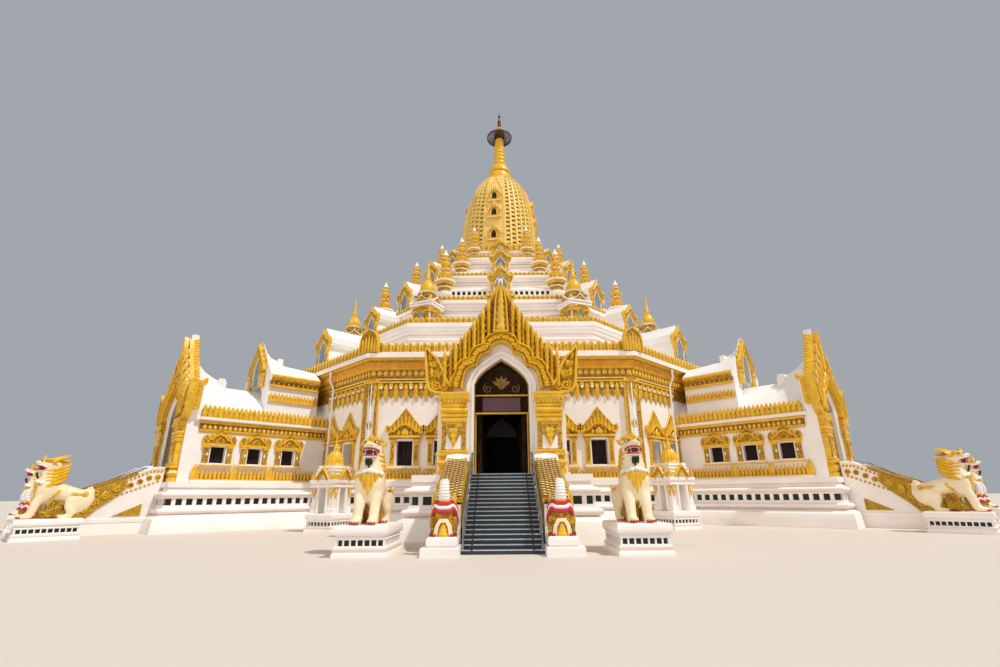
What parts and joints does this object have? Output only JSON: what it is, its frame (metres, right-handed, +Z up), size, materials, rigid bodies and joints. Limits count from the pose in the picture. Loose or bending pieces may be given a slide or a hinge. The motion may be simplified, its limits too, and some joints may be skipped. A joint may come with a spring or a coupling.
{
  "type": "octagonal pagoda, scale model at 1:2",
  "caption": "Octagonal white and gold pagoda on a moulded plinth, with gabled wings and stairs, stepped terraces, a curved tower and a ringed spire, at half size.",
  "frame": {"origin": "on the ground, under the spire, at the centre of the octagon", "axes": "+Z up, -Y out of the wing that faces the viewer, +X to the viewer's right"},
  "size_m": [37.75, 37.75, 26],
  "materials": {
    "white_masonry": "limewashed plaster, matt",
    "gold_paint": "gold paint over carved plaster, satin",
    "pale_gold": "pale gold paint, satin",
    "cream_paint": "cream painted plaster, satin",
    "slate_tread": "dark slate, matt",
    "dark_bronze": "dark weathered bronze",
    "red_paint": "gloss paint",
    "dark_opening": "dark shutters and vents",
    "steel_rail": "brushed"
  },
  "bodies": {
    "root": {"plinth": "white_masonry", "main_cornice": "gold_paint", "terrace_1": "white_masonry", "terrace_2": "white_masonry", "terrace_3": "white_masonry", "terrace_4": "white_masonry", "tower": "pale_gold", "spire": "gold_paint", "umbrella": "dark_bronze", "finial": "dark_bronze", "wall_bay_1": "white_masonry", "wall_bay_2": "white_masonry", "wall_bay_3": "white_masonry", "wall_bay_4": "white_masonry", "wall_bay_5": "white_masonry", "wall_bay_6": "white_masonry", "wall_bay_7": "white_masonry", "wall_bay_8": "white_masonry", "wing_roof_1": "white_masonry", "wing_roof_2": "white_masonry", "wing_roof_3": "white_masonry", "wing_roof_4": "white_masonry", "wing_roof_5": "white_masonry", "wing_roof_6": "white_masonry", "wing_roof_7": "white_masonry", "wing_roof_8": "white_masonry", "stair_1": "slate_tread", "stair_2": "slate_tread", "stair_3": "slate_tread", "stair_4": "slate_tread", "stair_5": "slate_tread", "stair_6": "slate_tread", "stair_7": "slate_tread", "stair_8": "slate_tread", "lion_left_1": "cream_paint", "lion_left_2": "cream_paint", "lion_left_3": "cream_paint", "lion_left_4": "cream_paint", "lion_left_5": "cream_paint", "lion_left_6": "cream_paint", "lion_left_7": "cream_paint", "lion_left_8": "cream_paint", "lion_right_1": "cream_paint", "lion_right_2": "cream_paint", "lion_right_3": "cream_paint", "lion_right_4": "cream_paint", "lion_right_5": "cream_paint", "lion_right_6": "cream_paint", "lion_right_7": "cream_paint", "lion_right_8": "cream_paint", "corner_shrine_1": "white_masonry", "corner_shrine_2": "white_masonry", "corner_shrine_3": "white_masonry", "corner_shrine_4": "white_masonry", "corner_shrine_5": "white_masonry", "corner_shrine_6": "white_masonry", "corner_shrine_7": "white_masonry", "corner_shrine_8": "white_masonry"}
  },
  "joints": []
}
